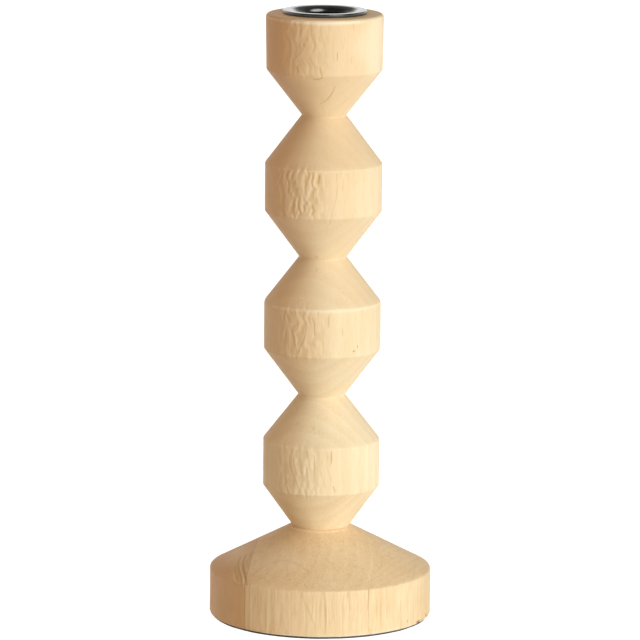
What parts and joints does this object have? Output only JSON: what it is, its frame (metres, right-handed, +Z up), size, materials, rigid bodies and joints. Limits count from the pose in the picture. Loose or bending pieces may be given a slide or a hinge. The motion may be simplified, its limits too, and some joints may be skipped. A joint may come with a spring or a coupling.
{
  "type": "turned wooden candle stand",
  "caption": "Turned pale wood candle stand: faceted beads on a round glued-up base, with a black metal cup that holds a taper candle.",
  "frame": {"origin": "centre of the felt pad's underside, which rests on the table", "axes": "+Z up along the turning axis; -Y faces the camera of the picture; +X to the right in the picture"},
  "size_m": [0.0885, 0.0884, 0.2433],
  "materials": {
    "stem_wood": "satin clear lacquer on pale turned hardwood",
    "base_core_wood": "satin clear lacquer on pale turned hardwood",
    "base_side_wood": "satin clear lacquer on pale turned hardwood",
    "black_cup": "gloss black",
    "zinc_steel": "zinc plated",
    "felt": "dark felt"
  },
  "bodies": {
    "stand": {"stem": "stem_wood", "base_centre_block": "base_core_wood", "base_left_block": "base_side_wood", "base_right_block": "base_side_wood", "stem_screw": "zinc_steel", "screw_washer": "zinc_steel", "felt_pad": "felt"},
    "cup": {"candle_cup": "black_cup"}
  },
  "joints": [
    {"name": "cup_lift", "type": "slide", "parent": "stand", "child": "cup", "axis": [0, 0, 1], "range_m": [0, 0.03]}
  ]
}
